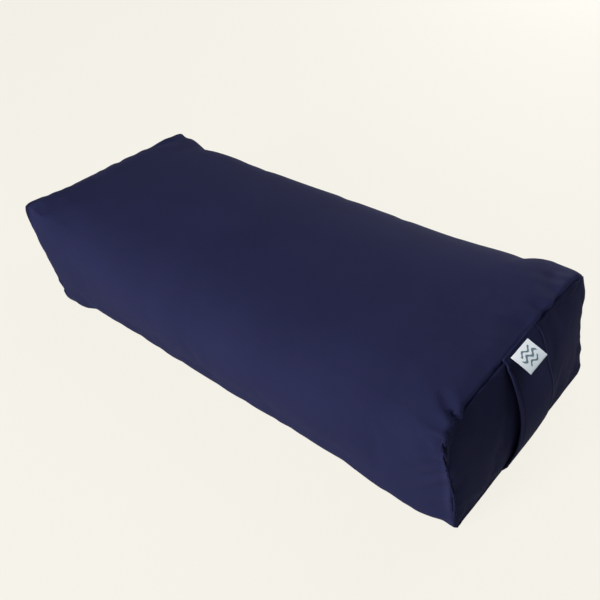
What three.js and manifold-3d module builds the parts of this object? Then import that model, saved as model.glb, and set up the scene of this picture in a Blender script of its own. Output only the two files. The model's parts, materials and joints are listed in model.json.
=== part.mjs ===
// A rectangular bolster pillow with a zipped canvas cover, a carry handle and a folded label.
// Millimetres, +Z up. The origin is the middle of the underside, +X runs along the pillow to the handle end
// and +Y points to the long side with the zip.
//
// From outside to inside: the cover (a wrap round the long way and two sewn-in end panels), a cotton liner
// made the same way, one blanket of batting rolled round the stack, and the stack of batting layers.
// Every cloth layer is the space between two insets of one crowned form.
import * as THREE from "three";
import { mergeVertices } from "three/addons/utils/BufferGeometryUtils.js";
import Module from "manifold-3d";

const wasm = await Module();
wasm.setup();

// ---------- Driving dimensions ----------
const length = 650; // between the two end seams
const width = 266; // across, at the end seams
const height = 148; // floor to top, at the end seams' corners
const topCrown = 20; // rise of the top in the middle
const sideCrown = 14; // swell of each long side above the zip
const endCrown = 12; // swell of each end panel
const seamCrownShare = 0.8; // share of the top crown that is left at the end seams
const settle = 5; // how far the filling's weight presses the underside flat

const clearance = 0.3; // gap that is kept between two pieces that touch
const finest = 0.01; // detail below this size is left out
const coverCloth = 1;
const linerCloth = 0.8;
const padEase = 0.9; // room left between the zip and the liner
const seamAllowance = 12;
const seamLip = 2; // width of the end panel that turns onto the wrap's side

const battingBlanket = 14; // thickness of the rolled blanket round the stack
const battingLayers = 4;

const zipHeight = 32; // of the zip's middle above the floor
const zipEndGap = 85; // from each end seam to the zip's end
const zipMargin = 1.8; // flat cover beyond the zip's tapes
const zipRoom = 0.8; // between the slider and each edge of the opening in the cover

const coil = { width: 2.2, thickness: 1.7, apart: 1.4 };
const tape = { width: 8.5, thickness: 0.6, sink: 0.2, overrun: 10 };
const slider = { length: 12, play: 0.2, plate: 0.9, flange: 0.8, neck: 0.8, neckLength: 4 };
const bridge = { width: 1.6, bar: 0.8, play: 1.2 };
const pull = { length: 24, thickness: 1.2, arm: 1.2, rim: 1.2, play: 1.2 };
const stop = { length: 2.5, lap: 0.4, thickness: 1.6 };

const handle = { width: 62, y: -5, thickness: 2.4, bow: 9, rest: 0.5, foot: 5, head: 3, sewn: 30, steps: 18 };
const label = { width: 29.5, y: -18.5, length: 22.5, thickness: 1.8, ply: 0.5, stand: 2.5, droop: 26, offset: 1.5 };
const careLabel = { width: 40, length: 30, thickness: 0.3, x: 150 };

// ---------- The crowned form ----------
const roundMid = 5.5; // superellipse exponent of the soft middle section
const roundEnd = 20; // and of the squared-up end seams
const endTaper = 71.5; // length of each end over which the section squares up

// ---------- Sizes that follow from the ones above ----------
const zipLength = length - 2 * zipEndGap;
const tapeDepth = coverCloth + clearance + tape.sink; // of the tape's outer face below the cover's face
const coilFoot = clearance - tapeDepth;
const coilTop = coilFoot + coil.thickness;
const sliderWidth = coil.apart + 2 * (coil.width + clearance + slider.play + slider.flange);
const sliderDepth = tapeDepth + tape.thickness + clearance + slider.plate;
const stopWidth = coil.apart + 2 * (coil.width + stop.lap);
const zipSlot = sliderWidth + 2 * zipRoom;
const zipBand = coil.apart + 2 * (tape.width + zipMargin);
const bridgeEye = pull.thickness + 2 * clearance;
const bridgeLength = pull.rim + 2 * (bridge.bar + bridge.play);
const pullEye = bridgeLength - bridge.bar;
const pullWidth = bridge.width + 2 * (pull.arm + pull.play);
const linerInset = sliderDepth + clearance + padEase;

const straightShare = 1 - endTaper / (length / 2); // share of the half length with one and the same section
const halfRise = (height + settle) / 2; // half the section's height before its foot is pressed flat

// The section's own height coordinate, from -1 to 1, of a level above the floor.
const levelOf = (z) => (z + settle) / halfRise - 1;

// The cube coordinate w whose point on a side face lands on that section level.
function sideCoordinate(level) {
  return level / (1 - Math.abs(level) ** roundMid) ** (1 / roundMid);
}

const bandLow = levelOf(zipHeight - zipBand / 2);
const bandHigh = levelOf(zipHeight + zipBand / 2);

const spread = (count) =>
  Array.from({ length: count + 1 }, (_, i) => Math.sin((i / count - 0.5) * Math.PI));

const alongCuts = [
  ...new Set([...spread(8), -straightShare, straightShare, -0.96, 0.96]),
].sort((a, b) => a - b);
const acrossCuts = spread(10);
const upCuts = [-1, -0.93, sideCoordinate(bandLow), sideCoordinate(bandHigh), 0.1, 0.45, 0.75, 0.93, 1];

// The point of the form inset by `inset` that the cube point (u, v, w) goes to. The ends are inset by `endInset`.
function formPoint(u, v, w, inset, endInset = inset) {
  const squareness = THREE.MathUtils.smoothstep(Math.abs(u), straightShare, 1);
  const n = THREE.MathUtils.lerp(roundMid, roundEnd, squareness);
  const rim = Math.max(Math.abs(v), Math.abs(w)) || 1;
  const k = (Math.abs(v / rim) ** n + Math.abs(w / rim) ** n) ** (-1 / n);
  const across = v * k;
  const up = w * k;
  const along = 1 - u * u;
  const swell = Math.max(0, (1 - up) * (up - bandHigh)) / ((1 - bandHigh) / 2) ** 2;
  const crown = Math.max(0, up) * THREE.MathUtils.lerp(seamCrownShare, 1, along) * (1 - across ** 2);
  const end = Math.abs(u) === 1 ? endCrown * (1 - across ** 2) * (1 - up ** 2) : 0;
  return new THREE.Vector3(
    u * (length / 2 - endInset) + Math.sign(u) * end,
    across * (width / 2 - inset + sideCrown * along * swell),
    inset + Math.max(0, (halfRise - inset) * (1 + up) - settle) + topCrown * crown,
  );
}

// Appends a grid of quads, as triangles, whose corners point(i, j) gives.
function addGrid(positions, columns, rows, point) {
  for (let i = 0; i < columns; i++)
    for (let j = 0; j < rows; j++) {
      const [a, b, c, d] = [point(i, j), point(i + 1, j), point(i + 1, j + 1), point(i, j + 1)];
      for (const p of [a, b, c, a, c, d]) positions.push(p.x, p.y, p.z);
    }
}

// The whole closed form, inset by `inset` and by `endInset` at its ends, as a solid. Half a turn about z
// leaves it as it is, facets included.
function form(inset, endInset = inset) {
  const positions = [];
  const [nu, nv, nw] = [alongCuts.length - 1, acrossCuts.length - 1, upCuts.length - 1];
  const at = (u, v, w) => formPoint(u, v, w, inset, endInset);
  addGrid(positions, nu, nv, (i, j) => at(alongCuts[i], acrossCuts[j], 1));
  addGrid(positions, nv, nu, (i, j) => at(alongCuts[j], acrossCuts[i], -1));
  addGrid(positions, nu, nw, (i, j) => at(alongCuts[i], -1, upCuts[j]));
  addGrid(positions, nu, nw, (i, j) => at(-alongCuts[i], 1, upCuts[j]));
  addGrid(positions, nv, nw, (i, j) => at(1, acrossCuts[i], upCuts[j]));
  addGrid(positions, nv, nw, (i, j) => at(-1, -acrossCuts[i], upCuts[j]));
  const geometry = new THREE.BufferGeometry();
  geometry.setAttribute("position", new THREE.Float32BufferAttribute(positions, 3));
  return solidOf(geometry);
}

// ---------- Between drawn shapes and solids ----------
function solidOf(geometry) {
  const bare = geometry.clone();
  bare.deleteAttribute("normal");
  bare.deleteAttribute("uv");
  const merged = mergeVertices(bare, 1e-4);
  return new wasm.Manifold(
    new wasm.Mesh({
      numProp: 3,
      vertProperties: merged.attributes.position.array,
      triVerts: new Uint32Array(merged.index.array),
    }),
  );
}

function geometryOf(solid) {
  const mesh = solid.simplify(finest).getMesh();
  const geometry = new THREE.BufferGeometry();
  geometry.setAttribute("position", new THREE.Float32BufferAttribute(mesh.vertProperties, mesh.numProp));
  geometry.setIndex(new THREE.BufferAttribute(mesh.triVerts, 1));
  geometry.computeVertexNormals();
  return geometry;
}

// A solid box between two corners.
function block([x0, y0, z0], [x1, y1, z1]) {
  const box = new THREE.BoxGeometry(x1 - x0, y1 - y0, z1 - z0);
  return solidOf(box.translate((x0 + x1) / 2, (y0 + y1) / 2, (z0 + z1) / 2));
}

const reach = 2 * (length + width + height); // larger than the object, for cutting with
const between = (x0, x1) => block([x0, -reach, -reach], [x1, reach, reach]);
const layer = (outer, inner) => form(outer).subtract(form(inner));

// ---------- Materials ----------
function cloth(color, roughness = 0.9) {
  return new THREE.MeshStandardMaterial({ color, roughness, metalness: 0 });
}
const navyCanvas = cloth(0x1d1f3d);
const navyTape = cloth(0x14162c, 0.8);
const navyNylon = cloth(0x101222, 0.45);
const calico = cloth(0xd9cfb8);
const cottonBatting = cloth(0xe9e2d2, 1);
const whiteSatin = cloth(0xeef1f1, 0.6);
const navyEnamel = new THREE.MeshStandardMaterial({ color: 0x15172b, roughness: 0.35, metalness: 0.4 });

const bolster = new THREE.Group();

function piece(name, geometry, material, parent = bolster) {
  const mesh = new THREE.Mesh(geometry, material);
  mesh.name = name;
  parent.add(mesh);
  return mesh;
}

// ---------- The zip's own frame: x along the track, z out of the cover, y across towards the floor ----------
function zipFrame() {
  const half = zipLength / 2 / (length / 2);
  const [low, high] = [bandLow, bandHigh].map((level) => formPoint(half, 1, sideCoordinate(level), 0));
  const tilt = Math.atan2(high.y - low.y, high.z - low.z);
  const frame = new THREE.Group();
  frame.position.set(0, (low.y + high.y) / 2, (low.z + high.z) / 2);
  frame.rotation.x = -(Math.PI / 2 + tilt);
  frame.updateMatrix();
  return frame;
}
const zip = zipFrame();
bolster.add(zip);

// ---------- A sewn bag: a wrap and two end panels whose seam allowances turn in ----------
const seamX = (inset) => length / 2 - inset - seamLip;

function wrap(inset, thickness) {
  return layer(inset, inset + thickness).intersect(between(-seamX(inset), seamX(inset)));
}

function endPanel(inset, thickness) {
  const start = seamX(inset) + clearance;
  const lip = seamX(inset) + seamLip - clearance;
  const under = inset + thickness + clearance;
  const allowance = form(under).intersect(between(seamX(inset) - seamAllowance, lip));
  const behindPanel = form(inset + thickness).intersect(between(lip, reach));
  const hollow = form(under + thickness).add(behindPanel);
  return form(inset).intersect(between(start, reach)).add(allowance).subtract(hollow);
}

function bag(prefix, inset, thickness, material, opening) {
  const tube = wrap(inset, thickness);
  piece(`${prefix}_wrap`, geometryOf(opening ? tube.subtract(opening) : tube), material);
  const panel = geometryOf(endPanel(inset, thickness));
  piece(`${prefix}_end_front`, panel, material);
  piece(`${prefix}_end_rear`, panel, material).rotation.z = Math.PI;
}

const zipOpening = zipLength + 2 * (stop.length + 2 * clearance);
const zipWindow = solidOf(
  new THREE.BoxGeometry(zipOpening, zipSlot, 2 * (coverCloth + clearance)).applyMatrix4(zip.matrix),
);
bag("cover", 0, coverCloth, navyCanvas, zipWindow);
bag("liner", linerInset, linerCloth, calico);

// ---------- The batting: a stack of layers inside one rolled blanket ----------
const blanketInset = linerInset + 2 * (linerCloth + clearance) + clearance;
const stackInset = blanketInset + battingBlanket + clearance;

function rolledBlanket() {
  const end = seamX(blanketInset);
  const roll = form(blanketInset).subtract(form(stackInset - clearance, blanketInset));
  piece("batting_blanket", geometryOf(roll.intersect(between(-end, end))), cottonBatting);
}
rolledBlanket();

function battingStack() {
  const core = form(stackInset, blanketInset);
  const { min, max } = core.boundingBox();
  const step = (max[2] - min[2]) / battingLayers;
  for (let i = 0; i < battingLayers; i++) {
    const low = i === 0 ? -reach : min[2] + i * step + clearance / 2;
    const high = i === battingLayers - 1 ? reach : min[2] + (i + 1) * step - clearance / 2;
    const slice = core.intersect(block([-reach, -reach, low], [reach, reach, high]));
    piece(`batting_layer_${i + 1}`, geometryOf(slice), cottonBatting);
  }
}
battingStack();

// ---------- The zip ----------
// A box in the zip's frame, centred on x, from y0 to y1 and from z0 to z1.
const bar = (x, long, y0, y1, z0, z1) => block([x - long / 2, y0, z0], [x + long / 2, y1, z1]);

function zipChain() {
  for (const [name, side] of [["upper", -1], ["lower", 1]]) {
    const across = (near, far) => (side > 0 ? [near, far] : [-far, -near]);
    const inner = coil.apart / 2;
    const strip = bar(
      0, zipLength + 2 * tape.overrun, ...across(inner, inner + tape.width), -tapeDepth - tape.thickness, -tapeDepth,
    );
    const teeth = bar(
      0, zipLength, ...across(inner, inner + coil.width), coilFoot, coilTop,
    );
    piece(`zip_tape_${name}`, geometryOf(strip), navyTape, zip);
    piece(`zip_coil_${name}`, geometryOf(teeth), navyNylon, zip);
  }
  const stopX = zipLength / 2 + clearance + stop.length / 2;
  const stopFoot = clearance - tapeDepth;
  for (const [name, x] of [["front", stopX], ["rear", -stopX]]) {
    const clip = bar(x, stop.length, -stopWidth / 2, stopWidth / 2, stopFoot, stopFoot + stop.thickness);
    piece(`zip_stop_${name}`, geometryOf(clip), navyEnamel, zip);
  }
}

// The slider and its pull at the closed end. The neck runs in the gap between the two coils.
function zipSlider() {
  const x = -(zipLength - slider.length) / 2;
  const half = sliderWidth / 2;
  const plateFoot = coilTop + clearance;
  const plateTop = plateFoot + slider.plate;
  const floor = slider.plate - sliderDepth;
  const flangeFoot = clearance - tapeDepth;
  const eyeTop = plateTop + bridgeEye;
  const post = (bridgeLength - bridge.bar) / 2;
  const parts = [
    bar(x, slider.length, -half, half, plateFoot, plateTop),
    bar(x, slider.length, -half, -half + slider.flange, flangeFoot, plateTop),
    bar(x, slider.length, half - slider.flange, half, flangeFoot, plateTop),
    bar(x, slider.neckLength, -slider.neck / 2, slider.neck / 2, floor - slider.plate, plateTop),
    bar(x, slider.length, -half, half, floor - slider.plate, floor),
    bar(x, bridgeLength, -bridge.width / 2, bridge.width / 2, eyeTop, eyeTop + bridge.bar),
    bar(x - post, bridge.bar, -bridge.width / 2, bridge.width / 2, plateFoot, eyeTop + bridge.bar),
    bar(x + post, bridge.bar, -bridge.width / 2, bridge.width / 2, plateFoot, eyeTop + bridge.bar),
  ];
  piece("zip_slider", geometryOf(parts.reduce((a, b) => a.add(b))), navyEnamel, zip);

  const tab = pullGeometry();
  tab.translate(x, 0, plateTop + clearance);
  piece("zip_pull", tab, navyEnamel, zip);
}

// A flat tab with a slot at one end. Its pivot bar lies on the origin and the tab runs along +x.
function pullGeometry() {
  const half = pullWidth / 2;
  const start = -pull.rim / 2;
  const outline = new THREE.Shape();
  outline.moveTo(start, -half);
  outline.lineTo(start + pull.length - half, -half);
  outline.absarc(start + pull.length - half, 0, half, -Math.PI / 2, Math.PI / 2);
  outline.lineTo(start, half);
  outline.closePath();
  const eye = new THREE.Path();
  eye.moveTo(start + pull.rim, pull.arm - half);
  eye.lineTo(start + pull.rim, half - pull.arm);
  eye.lineTo(start + pull.rim + pullEye, half - pull.arm);
  eye.lineTo(start + pull.rim + pullEye, pull.arm - half);
  eye.closePath();
  outline.holes.push(eye);
  return new THREE.ExtrudeGeometry(outline, { depth: pull.thickness, bevelEnabled: false, curveSegments: 8 });
}

zipChain();
zipSlider();

// ---------- The carry handle: a strap over the front end panel, sewn in at its top and bottom seams ----------
// Its two ends stay on the panel. The span between them is the part that lifts off it.
const seamTop = formPoint(1, 0, 1, 0).z; // height of the end seam at the middle of the top

// Outer face of the end panel at mid width, as a distance from the middle of the pillow.
function panelFace(z) {
  const above = z + settle - halfRise;
  const up = above / (above > 0 ? seamTop + settle - halfRise : halfRise);
  return length / 2 + endCrown * (1 - Math.min(1, up ** 2));
}

// Turns a profile drawn in x and z into a piece of that width, with its middle at that y.
function extrudeAcross(shape, { width: wide, y }) {
  const geometry = new THREE.ExtrudeGeometry(shape, { depth: wide, bevelEnabled: false, curveSegments: 6 });
  return geometry.rotateX(Math.PI / 2).translate(0, y + wide / 2, 0);
}

function carryHandle() {
  const [foot, head] = [handle.foot, seamTop - handle.head];
  const curve = (lift) =>
    Array.from({ length: handle.steps + 1 }, (_, i) => {
      const t = i / handle.steps;
      const z = THREE.MathUtils.lerp(foot, head, t);
      const bow = handle.bow * Math.sin(Math.PI * t) ** 2;
      return new THREE.Vector2(panelFace(z) + handle.rest + bow + lift, z);
    });
  const outline = [...curve(0), ...curve(handle.thickness).reverse()];
  const strap = solidOf(extrudeAcross(new THREE.Shape(outline), handle));
  const half = clearance / 2;
  for (const [name, low, high] of [
    ["handle_foot", -reach, foot + handle.sewn - half],
    ["carry_handle", foot + handle.sewn + half, head - handle.sewn - half],
    ["handle_head", head - handle.sewn + half, reach],
  ]) {
    const cut = block([-reach, -reach, low], [reach, reach, high]);
    piece(name, geometryOf(strap.intersect(cut)), navyCanvas);
  }
}
carryHandle();

// ---------- The label: a folded tape that stands out of the top seam over the handle ----------
function foldedLabel() {
  const half = label.thickness / 2;
  const fold = label.length - half;
  const outline = new THREE.Shape();
  outline.moveTo(0, -half);
  outline.lineTo(fold, -half);
  outline.absarc(fold, 0, half, -Math.PI / 2, Math.PI / 2);
  outline.lineTo(0, half);
  outline.closePath();
  const gap = half - label.ply;
  const inside = new THREE.Path();
  inside.moveTo(2 * label.ply, -gap);
  inside.lineTo(2 * label.ply, gap);
  inside.lineTo(fold, gap);
  inside.lineTo(fold, -gap);
  inside.closePath();
  outline.holes.push(inside);
  const mesh = piece("label", extrudeAcross(outline, label), whiteSatin);
  mesh.rotation.y = THREE.MathUtils.degToRad(label.droop);
  mesh.position.set(length / 2 + label.offset, 0, seamTop + label.stand);
}
foldedLabel();

// ---------- The care label, flat inside the cover below the zip ----------
function careLabelInside() {
  const depth = coverCloth + clearance;
  const flat = block(
    [careLabel.x, -careLabel.width / 2, depth],
    [careLabel.x + careLabel.length, careLabel.width / 2, depth + careLabel.thickness],
  );
  piece("care_label", geometryOf(flat), whiteSatin);
}
careLabelInside();

export default bolster;
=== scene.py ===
"""Bolster pillow: the sewn cover, its strap, label and zip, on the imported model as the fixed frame."""
import json
import math
import bpy
import bmesh
import numpy as np
from mathutils import Matrix, Vector, noise
from mathutils.bvhtree import BVHTree
from mathutils.kdtree import KDTree


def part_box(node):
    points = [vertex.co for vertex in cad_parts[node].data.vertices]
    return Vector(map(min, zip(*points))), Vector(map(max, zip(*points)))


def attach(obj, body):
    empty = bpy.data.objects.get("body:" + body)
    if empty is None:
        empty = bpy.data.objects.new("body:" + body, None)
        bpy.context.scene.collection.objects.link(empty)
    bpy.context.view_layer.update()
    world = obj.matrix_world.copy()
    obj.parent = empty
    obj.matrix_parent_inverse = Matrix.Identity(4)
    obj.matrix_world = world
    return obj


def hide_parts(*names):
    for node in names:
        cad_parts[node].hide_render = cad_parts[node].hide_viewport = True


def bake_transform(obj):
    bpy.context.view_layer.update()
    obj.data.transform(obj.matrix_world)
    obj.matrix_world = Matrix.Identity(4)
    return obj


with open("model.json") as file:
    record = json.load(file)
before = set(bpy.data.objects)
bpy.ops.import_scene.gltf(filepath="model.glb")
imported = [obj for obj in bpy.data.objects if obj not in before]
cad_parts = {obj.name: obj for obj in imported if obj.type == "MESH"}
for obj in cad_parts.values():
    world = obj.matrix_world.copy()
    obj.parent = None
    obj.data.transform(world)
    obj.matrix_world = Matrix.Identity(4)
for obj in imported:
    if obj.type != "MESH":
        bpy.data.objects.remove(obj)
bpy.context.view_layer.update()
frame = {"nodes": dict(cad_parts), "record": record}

wrap_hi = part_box("cover_wrap")[1]
end_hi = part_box("cover_end_front")[1]
strap_lo, strap_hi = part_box("carry_handle")
label_lo, label_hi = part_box("label")
joints = {j["name"]: j for j in frame["record"]["behaviour"]["joints"]}

MM = 0.001
HALF_LENGTH = wrap_hi[0] + 2 * MM  # the end seam
HALF_WIDTH = end_hi[1]  # at the end seams
SEAM_TOP = end_hi[2]  # middle of the top end seam
CROWN = wrap_hi[2] - SEAM_TOP
END_CROWN = end_hi[0] - HALF_LENGTH
BELLY = 14 * MM  # how far the long sides swell
SEAM_CROWN = 16 * MM  # the end seam's own arch
CORNER_TOP = SEAM_TOP - SEAM_CROWN
FRONT_SHARE, REAR_SHARE = 0.72, 0.25  # the front end seam stands high, the rear one has sunk

# ------------ small helpers


def smooth(t, a=0.0, b=1.0):
    t = np.clip((np.asarray(t, float) - a) / (b - a), 0, 1)
    return t * t * (3 - 2 * t)


def mesh_object(name, verts, faces, smooth_shade=True):
    mesh = bpy.data.meshes.new(name)
    mesh.from_pydata([tuple(map(float, v)) for v in verts], [], [tuple(map(int, f)) for f in faces])
    mesh.update()
    if smooth_shade:
        mesh.polygons.foreach_set("use_smooth", [True] * len(mesh.polygons))
    obj = bpy.data.objects.new(name, mesh)
    bpy.context.collection.objects.link(obj)
    return obj


def coords(obj, kind="co"):
    values = np.empty(len(obj.data.vertices) * 3)
    obj.data.vertices.foreach_get(kind, values)
    return values.reshape(-1, 3)


def set_coords(obj, co):
    obj.data.vertices.foreach_set("co", np.ascontiguousarray(co, dtype=np.float32).ravel())
    obj.data.update()


def apply_modifiers(obj):
    """Bakes obj's modifiers into its mesh."""
    graph = bpy.context.evaluated_depsgraph_get()
    made = bpy.data.meshes.new_from_object(obj.evaluated_get(graph), depsgraph=graph)
    old = obj.data
    obj.modifiers.clear()
    obj.data = made
    name = old.name
    bpy.data.meshes.remove(old)
    made.name = name
    made.polygons.foreach_set("use_smooth", [True] * len(made.polygons))
    made.update()


def value_noise(points, scale, seed):
    """Smooth noise from -1 to 1 at each point, with features about `scale` metres across."""
    return np.array([
        noise.noise(Vector((x / scale + seed, y / scale - seed, z / scale + 2 * seed))) for x, y, z in points
    ])


def set_uv(obj, values):
    """Flat cloth coordinates, in metres, one for each corner of each face."""
    layer = obj.data.uv_layers.new(name="weave")
    layer.data.foreach_set("uv", np.array(values, dtype=np.float32).ravel())


def set_fields(obj, **fields):
    """Named numbers on the mesh's points, for the materials to read."""
    for name, values in fields.items():
        layer = obj.data.attributes.new(name, "FLOAT", "POINT")
        layer.data.foreach_set("value", values.astype(np.float32))


def face_outward(obj, is_sharp=None):
    """Turns every face outward, and marks the edges that is_sharp picks."""
    bm = bmesh.new()
    bm.from_mesh(obj.data)
    bmesh.ops.recalc_face_normals(bm, faces=bm.faces)
    for edge in bm.edges:
        if is_sharp and is_sharp(edge):
            edge.smooth = False
    bm.to_mesh(obj.data)
    bm.free()


def cad_copy(node, name):
    """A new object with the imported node's mesh, joined up, and no material."""
    obj = bpy.data.objects.new(name, frame["nodes"][node].data.copy())
    bpy.context.collection.objects.link(obj)
    obj.data.materials.clear()
    bm = bmesh.new()
    bm.from_mesh(obj.data)
    bmesh.ops.remove_doubles(bm, verts=bm.verts, dist=1e-6)
    return obj, bm


def finish_piece(obj, material, body, slot, *nodes):
    """Gives a piece its material and the body it rides on, and hides the nodes it stands for; slot is not used."""
    if material:
        obj.data.materials.append(material)
    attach(obj, body)
    if nodes:
        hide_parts(*nodes)
    return obj


# ------------ materials


BLACK, WHITE = (0, 0, 0), (1, 1, 1)


class Nodes:
    """A few shorthands for building a material's nodes."""

    def __init__(self, name):
        self.material = bpy.data.materials.new(name)
        self.material.use_nodes = True
        self.tree = self.material.node_tree
        self.tree.nodes.clear()
        self.shader = self.tree.nodes.new("ShaderNodeBsdfPrincipled")
        self.link(self.shader.outputs[0], self.tree.nodes.new("ShaderNodeOutputMaterial").inputs[0])
        self.place = self.tree.nodes.new("ShaderNodeTexCoord").outputs["Object"]

    def link(self, a, b):
        self.tree.links.new(a, b)

    def add(self, kind, **settings):
        node = self.tree.nodes.new(kind)
        for key, value in settings.items():
            if key in node.inputs.keys():
                node.inputs[key].default_value = value
            else:
                setattr(node, key, value)
        return node

    def put(self, socket, value):
        """Sets the socket to a number or colour, or links it to an output."""
        if isinstance(value, (int, float)):
            socket.default_value = value
        elif isinstance(value, tuple):
            socket.default_value = (*value, 1)
        else:
            self.link(value, socket)

    def surface(self, **inputs):
        """Sets the shader's own inputs, with _ for a space in each name."""
        for name, value in inputs.items():
            self.put(self.shader.inputs[name.replace("_", " ")], value)

    def field(self, name):
        return self.add("ShaderNodeAttribute", attribute_name=name).outputs["Fac"]

    def uv(self):
        node = self.tree.nodes.new("ShaderNodeUVMap")
        node.uv_map = "weave"
        return node.outputs[0]

    def split(self, vector):
        node = self.tree.nodes.new("ShaderNodeSeparateXYZ")
        self.link(vector, node.inputs[0])
        return node.outputs

    def math(self, operation, a, b=None, clamp=False):
        node = self.tree.nodes.new("ShaderNodeMath")
        node.operation = operation
        node.use_clamp = clamp
        for socket, value in zip(node.inputs, (a, b)):
            if value is not None:
                self.put(socket, value)
        return node.outputs[0]

    def noise(self, scale, detail=2.0, rough=0.5, vector=None):
        node = self.add("ShaderNodeTexNoise", Scale=scale, Detail=detail, Roughness=rough)
        self.link(vector or self.place, node.inputs["Vector"])
        return node.outputs["Fac"]

    def scaled(self, x, y, z, vector=None):
        node = self.add("ShaderNodeMapping")
        node.inputs["Scale"].default_value = (x, y, z)
        self.link(vector or self.place, node.inputs["Vector"])
        return node.outputs[0]

    def ramp(self, value, stops):
        node = self.tree.nodes.new("ShaderNodeValToRGB")
        ramp = node.color_ramp
        while len(ramp.elements) < len(stops):
            ramp.elements.new(0.5)
        for element, (place, colour) in zip(ramp.elements, stops):
            element.position = place
            element.color = (*colour, 1)
        self.link(value, node.inputs[0])
        return node.outputs[0]

    def mix(self, factor, a, b):
        node = self.add("ShaderNodeMix", data_type="RGBA")
        for socket, value in ((node.inputs[0], factor), (node.inputs[6], a), (node.inputs[7], b)):
            self.put(socket, value)
        return node.outputs[2]

    def bump(self, height, strength, distance):
        node = self.add("ShaderNodeBump", Strength=strength, Distance=distance)
        self.link(height, node.inputs["Height"])
        self.link(node.outputs[0], self.shader.inputs["Normal"])


def linear(r, g, b):
    """An sRGB colour, 0 to 255, as linear values."""
    out = []
    for c in (r, g, b):
        c = c / 255
        out.append(c / 12.92 if c <= 0.04045 else ((c + 0.055) / 1.055) ** 2.4)
    return tuple(out)


def woven(name, colour, light, dark, pitch=0.9 * MM, bump=0.5, sheen=0.025, sewn=False):
    """Plain weave: crossing threads at that pitch, slubs and soft fading, and on sewn pieces wear, cloth darker along
    the seams and stitch rows, and painted shade under the end panels' top seam.
    """
    n = Nodes(name)
    flat = n.uv() if sewn else n.place
    across, down = n.split(flat)[:2]
    wobble = n.math("MULTIPLY", n.math("SUBTRACT", n.noise(60, 2, 0.5, flat), 0.5), pitch * 1.2)
    u = n.math("ADD", across, wobble)
    v = n.math("ADD", down, wobble)
    k = math.pi / pitch
    warp = n.math("SINE", n.math("MULTIPLY", u, k))
    weft = n.math("SINE", n.math("MULTIPLY", v, k))
    threads = n.math("MULTIPLY", n.math("ADD", n.math("ABSOLUTE", warp), n.math("ABSOLUTE", weft)), 0.5)
    over = n.math("MULTIPLY", warp, weft)
    weave = n.math("ADD", n.math("MULTIPLY", threads, 0.7), n.math("MULTIPLY", over, 0.3))
    slub_u = n.noise(1, 2, 0.6, n.scaled(30, 1400, 30, flat))
    slub_v = n.noise(1, 2, 0.6, n.scaled(1400, 30, 30, flat))
    slubs = n.math("MULTIPLY", n.math("ADD", slub_u, slub_v), 0.5)
    fade = n.noise(9, 4, 0.55)
    base = n.ramp(fade, [(0.3, dark), (0.5, colour), (0.72, light)])
    base = n.mix(n.ramp(slubs, [(0.35, BLACK), (0.7, WHITE)]), base, light)
    base = n.mix(0.5, base, n.mix(n.ramp(weave, [(0.1, BLACK), (0.8, WHITE)]), dark, base))
    if sewn:
        darkened_seams_and_shade, worn = tuple(c * 0.45 for c in dark), tuple(min(1, c * 1.9 + 0.004) for c in light)
        # darker along the seams and stitch rows, and a broad painted shade on the end panels under the top seam's
        # overhang
        base = n.mix(n.math("MULTIPLY", n.field("seam"), 0.55), base, darkened_seams_and_shade)
        base = n.mix(n.math("MULTIPLY", n.field("wear"), 0.35), base, worn)
    n.surface(
        Base_Color=base,
        Roughness=n.math("ADD", n.math("MULTIPLY", slubs, 0.12), 0.79),
        Sheen_Weight=sheen,
        Sheen_Roughness=0.45,
        Sheen_Tint=tuple(min(1, c * 9 + 0.05) for c in light),
        Specular_IOR_Level=0.02,
    )
    height = n.math("ADD", weave, n.math("MULTIPLY", slubs, 0.5))
    n.bump(height, bump, pitch * 0.35)
    return n.material


NAVY = linear(24, 26, 50)
NAVY_LIGHT = linear(27, 29, 55)
NAVY_DARK = linear(21, 23, 45)
canvas = woven("navy_canvas", NAVY, NAVY_LIGHT, NAVY_DARK, sewn=True)

# ------------ camera

camera_data = bpy.data.cameras.new("camera")
camera_data.sensor_width = 36
camera_data.lens = 44.85
camera_data.clip_start, camera_data.clip_end = 0.05, 30
camera = bpy.data.objects.new("camera", camera_data)
bpy.context.collection.objects.link(camera)
bpy.context.scene.camera = camera
VIEW_AZIMUTH, VIEW_ELEVATION, VIEW_ROLL = 47.43, 40.10, 9.62
CAMERA_PLACE = Vector((0.5438, -0.4735, 0.6597))


def look(azimuth, elevation, roll):
    """World matrix of a camera that looks along that direction, turned by roll about its own axis."""
    a, e, r = map(math.radians, (azimuth, elevation, roll))
    forward = Vector((-math.sin(a) * math.cos(e), math.cos(a) * math.cos(e), -math.sin(e)))
    level = forward.cross(Vector((0, 0, 1))).normalized()
    up = level.cross(forward)
    right = level * math.cos(r) - up * math.sin(r)
    up = right.cross(forward)
    return Matrix((right, up, -forward)).transposed().to_4x4()


camera.matrix_world = Matrix.Translation(CAMERA_PLACE) @ look(VIEW_AZIMUTH, VIEW_ELEVATION, VIEW_ROLL)

# ------------ the cushion's form

SETTLE = 5 * MM
HALF_RISE = (CORNER_TOP + SETTLE) / 2
ZIP_MIDDLE, ZIP_HIGH = 32 * MM, 43 * MM  # the zip's height, and the top of the flat strip that holds it
ZIP_EDGE, ZIP_REACH, ZIP_SOFT = 10 * MM, 262 * MM, 22 * MM  # half height, half length and fading of what stays put
SLOT_LOW, SLOT_HIGH = 27 * MM, 37 * MM  # the opening that shows the coils
ROUND_MID, ROUND_END = 5.5, 20.0
TAPER = 71.5 * MM
STRAIGHT = 1 - TAPER / HALF_LENGTH
SLOT_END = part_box("zip_stop_front")[1][0] + 0.3 * MM

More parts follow.
